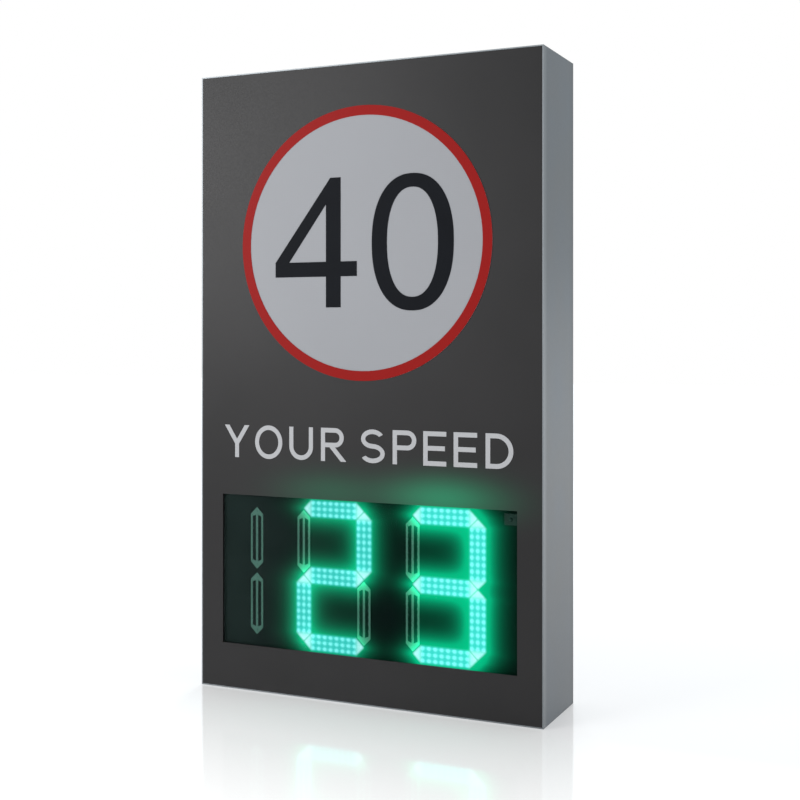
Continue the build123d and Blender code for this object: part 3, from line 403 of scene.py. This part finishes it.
def mask_plastic(glow_tree):
    """Black mask round the segments, washed by their light."""
    made, g, shader = material("mask_plastic", Specular_IOR_Level=0.04)
    grain = g.noise(0.0012, detail=2)
    g.set(shader, "Base Color", g.mix(grain, colour(0.0018, 0.009, 0.008), colour(0.0026, 0.0115, 0.0105)))
    g.set(shader, "Roughness", g.ramp(grain, 0.6, 0.75, 0.3, 0.7))
    g.set(shader, "Normal", g.bump(grain, 0.00004, 0.4))
    add_glow(g, shader, glow_tree, GLOW_STRENGTH, LIT_STRENGTH)
    return made


def milky_lens(glow_tree):
    """Unlit segment: frosted milky plastic whose pale green base colour is painted light from its lit
    neighbours; it also picks up their glow.
    """
    made, g, shader = material("milky_lens", Specular_IOR_Level=0.3)
    cloud = g.noise(0.004, detail=2)
    # painted light: the pale green colour stands for the lit neighbours' light on the milky plastic
    g.set(shader, "Base Color", g.mix(cloud, colour(0.2, 0.54, 0.42), colour(0.27, 0.64, 0.5)))
    g.set(shader, "Roughness", g.ramp(cloud, 0.35, 0.5))
    g.set(shader, "Normal", g.bump(cloud, 0.00005, 0.3))
    add_glow(g, shader, glow_tree, UNLIT_GLOW)
    return made


def lit_lens(glow_tree):
    """Lit segment: bright bars with dots, and the palest light at the two tips."""
    made, g, shader = material("lit_lens", Base_Color=colour(0.03, 0.2, 0.17))
    g.set(shader, "Roughness", g.ramp(g.noise(0.003), 0.3, 0.4))
    add_glow(g, shader, glow_tree, GLOW_STRENGTH, LIT_STRENGTH)
    return made


def circuit_board():
    """Green lacquer with a faint grid of tracks."""
    made, g, shader = material("circuit_board", Specular_IOR_Level=0.5)
    tracks = g.add("ShaderNodeTexBrick", Scale=130.0)
    tracks.inputs["Color1"].default_value = colour(0.01, 0.07, 0.03)
    tracks.inputs["Color2"].default_value = colour(0.012, 0.09, 0.04)
    tracks.inputs["Mortar"].default_value = colour(0.03, 0.16, 0.07)
    tracks.inputs["Mortar Size"].default_value = 0.06
    g.tree.links.new(g.place(), tracks.inputs["Vector"])
    g.set(shader, "Base Color", tracks.outputs["Color"])
    g.set(shader, "Roughness", g.ramp(g.noise(0.01), 0.25, 0.4))
    return made


def give(made, *names):
    """Puts one material on every slot of each CAD node."""
    for name in names:
        for slot in NODES[name].material_slots:
            slot.material = made


def dress_nodes():
    """Gives each CAD node its material."""
    glow = glow_group()
    upright = (14, 14, 0.35)
    level = (0.35, 14, 14)
    silver = (0.122, 0.13, 0.136)
    give(side_profile("side_profile", silver, upright), "frame_left", "frame_right")
    give(side_profile("end_profile", silver, level), "frame_top", "frame_bottom")
    give(metal("rear_sheet", (0.29, 0.3, 0.31), upright, rough=(0.3, 0.42)), "rear_panel", "service_door")
    steel = stainless("bright_steel", (0.46, 0.455, 0.44))
    give(steel, "corner_cleats", "rear_screws", "rail_bolts", "lock_lower", "lock_upper", "display_fixings")
    give(steel, "hinge_frame_leaves", "hinge_door_leaves")
    zinc = galvanised("galvanised", (0.38, 0.39, 0.405))
    give(zinc, "rail_lower", "rail_upper", "chassis_plate", "battery_tray")
    give(galvanised("fine_galvanised", (0.36, 0.365, 0.37), flake=0.004), "din_rail", "pane_retainer")
    give(front_coating(), "front_panel")
    give(sheeting("white_sheeting", (0.322, 0.329, 0.35), specular=0.15), "roundel_face")
    give(sheeting("red_sheeting", (0.275, 0.006, 0.005), specular=0.08), "roundel_ring")
    give(sheeting("legend_sheeting", (0.445, 0.45, 0.465), specular=0.15), "legend_letters")
    numeral = plastic("numeral_film", (0.005, 0.006, 0.0085), rough=0.45, specular=0.05)
    give(numeral, "numeral_four", "numeral_zero")
    foam = plastic("foam_rubber", (0.018, 0.018, 0.018), rough=0.85, grain=0.0015, depth=0.0002)
    give(foam, "window_gasket", "door_seal")
    give(smoked_pane(glow), "window_pane")
    give(mask_plastic(glow), "display_mask")
    give(plastic("sensor_plastic", (0.025, 0.1, 0.07), rough=0.4), "light_sensor")
    black = plastic("black_plastic", (0.02, 0.02, 0.022), rough=0.45)
    give(black, "inlet_flap", "inlet_socket", "cable_gland", "breaker_lever", "board_parts")
    give(circuit_board(), "led_boards")
    grey = plastic("grey_plastic", (0.3, 0.31, 0.32), rough=0.5)
    give(grey, "breaker_body", "terminal_block", "radar_sensor")
    give(plastic("controller_case", (0.035, 0.06, 0.11), rough=0.5), "charge_controller")
    give(plastic("board_case", (0.2, 0.21, 0.22), rough=0.55), "control_board_case")
    give(plastic("battery_case", (0.03, 0.032, 0.036), rough=0.55), "battery")
    give(plastic("button_cap", (0.55, 0.08, 0.02), rough=0.35), "controller_button")
    give(plastic("wire_cover", (0.035, 0.03, 0.03), rough=0.5, grain=0.003), "wiring")
    unlit = milky_lens(glow)
    lit = lit_lens(glow)
    give(unlit, "segment_hundreds")
    for digit, letters in LIT_SEGMENTS.items():
        for letter in "abcdefg":
            give(lit if letter in letters else unlit, "segment_%s_%s" % (digit, letter))


# ---- stage ---------------------------------------------------------------


def make_floor():
    """Glossy white floor that also gives its own light, more of it in front of the sign."""
    mesh = bpy.data.meshes.new("studio_floor")
    corners = [(FLOOR_HALF * x, FLOOR_HALF * y, 0) for x, y in ((-1, -1), (1, -1), (1, 1), (-1, 1))]
    mesh.from_pydata(corners, [], [(0, 1, 2, 3)])
    floor = bpy.data.objects.new("studio_floor", mesh)
    floor.location.z = CAD_BOX[0].z - FLOOR_GAP
    bpy.context.scene.collection.objects.link(floor)
    made, g, shader = material("floor_white", IOR=2.0)
    g.set(shader, "Emission Color", colour(1, 1, 1))
    front = CAD_BOX[0].y
    own_light = g.ramp(g.parts(g.place())["Y"], *FLOOR_LIGHT, front - FLOOR_RISE, front)
    g.set(shader, "Emission Strength", own_light)
    g.set(shader, "Base Color", g.mix(g.noise(0.6), colour(0.87, 0.87, 0.87), colour(0.9, 0.9, 0.9)))
    g.set(shader, "Roughness", g.ramp(g.noise(0.3), 0.06, 0.09))
    mesh.materials.append(made)


def make_world():
    """White surroundings, seen and mirrored at full strength, that light rough surfaces more gently."""
    world = bpy.data.worlds.new("studio")
    bpy.context.scene.world = world
    world.use_nodes = True
    tree = world.node_tree
    tree.nodes.clear()
    path = tree.nodes.new("ShaderNodeLightPath")
    straight = tree.nodes.new("ShaderNodeMath")
    straight.operation = "MAXIMUM"
    tree.links.new(path.outputs["Is Camera Ray"], straight.inputs[0])
    tree.links.new(path.outputs["Is Glossy Ray"], straight.inputs[1])
    dim = tree.nodes.new("ShaderNodeBackground")
    dim.inputs["Color"].default_value = colour(0.97, 0.985, 1.0)
    dim.inputs["Strength"].default_value = 0.42
    full = tree.nodes.new("ShaderNodeBackground")
    mix = tree.nodes.new("ShaderNodeMixRGB")
    tree.links.new(path.outputs["Is Camera Ray"], mix.inputs["Fac"])
    mix.inputs["Color1"].default_value = colour(0.9, 0.96, 1.0)
    mix.inputs["Color2"].default_value = colour(1, 1, 1)
    tree.links.new(mix.outputs[0], full.inputs["Color"])
    choice = tree.nodes.new("ShaderNodeMixShader")
    tree.links.new(straight.outputs[0], choice.inputs[0])
    tree.links.new(dim.outputs[0], choice.inputs[1])
    tree.links.new(full.outputs[0], choice.inputs[2])
    out = tree.nodes.new("ShaderNodeOutputWorld")
    tree.links.new(choice.outputs[0], out.inputs["Surface"])


def soft_light(name, place, target, width, height, power, tint=(1, 1, 1), spread=180):
    """Rectangular light aimed at target, with its power in watts and its spread in degrees."""
    data = bpy.data.lights.new(name, "AREA")
    data.shape = "RECTANGLE"
    data.size = width
    data.size_y = height
    data.energy = power
    data.color = tint
    data.spread = radians(spread)
    lamp = bpy.data.objects.new(name, data)
    lamp.location = place
    lamp.visible_camera = False
    lamp.rotation_euler = (Vector(target) - Vector(place)).to_track_quat("-Z", "Y").to_euler()
    bpy.context.scene.collection.objects.link(lamp)


def make_lights():
    soft_light("front_left", (-1.8, -2.35, 1.26), (-0.2, 0, 0.9), 1.7, 1.4, 9.5, spread=80)
    soft_light("right_side", (3.0, -0.3, 0.3), (0, 0, 0.4), 1.4, 1.4, 12, (1.0, 0.985, 0.97))
    soft_light("back_right", (1.6, 2.9, 0.3), (0.2, 0, 0.4), 1.6, 0.9, 2.6, (1.0, 0.985, 0.97))
    soft_light("behind", (-0.6, 3.2, 2.4), (0, 0, 0.6), 1.4, 1.4, 40)


def make_camera():
    data = bpy.data.cameras.new("camera")
    data.sensor_width = 36
    data.lens = CAMERA_LENS
    data.shift_x, data.shift_y = CAMERA_SHIFT
    camera = bpy.data.objects.new("camera", data)
    camera.location = CAMERA_PLACE
    heading = radians(CAMERA_HEADING)
    forward = Vector((-sin(heading), cos(heading), 0))
    camera.rotation_euler = forward.to_track_quat("-Z", "Y").to_euler()
    bpy.context.scene.collection.objects.link(camera)
    bpy.context.scene.camera = camera


make_camera()
make_world()
make_lights()
make_floor()
dress_nodes()
bpy.context.scene.view_settings.view_transform = "Standard"
